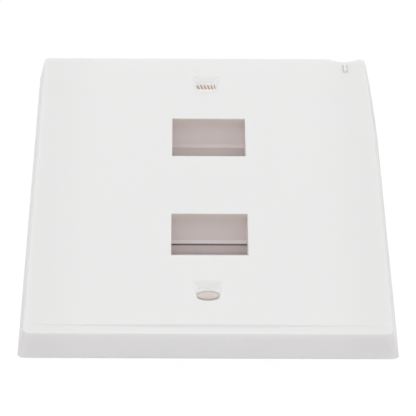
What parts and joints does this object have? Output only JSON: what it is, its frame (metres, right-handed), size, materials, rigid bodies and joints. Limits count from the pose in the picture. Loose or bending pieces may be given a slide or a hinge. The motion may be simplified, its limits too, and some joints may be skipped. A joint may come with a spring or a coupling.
{
  "type": "keystone faceplate",
  "caption": "Blank-white rectangular wall faceplate, single gang, with square keystone jack openings one above the other and two screw slots on its centre line.",
  "frame": {"origin": "midway between the two screw slots, on the back plane of the rim that lies on the wall", "axes": "+X across the plate to the right as seen from the front, +Y up its length, +Z out of its face, away from the wall"},
  "size_m": [0.07, 0.1142, 0.0102],
  "materials": {
    "white_plastic": "satin"
  },
  "bodies": {
    "root": {"faceplate": "white_plastic"}
  },
  "joints": []
}
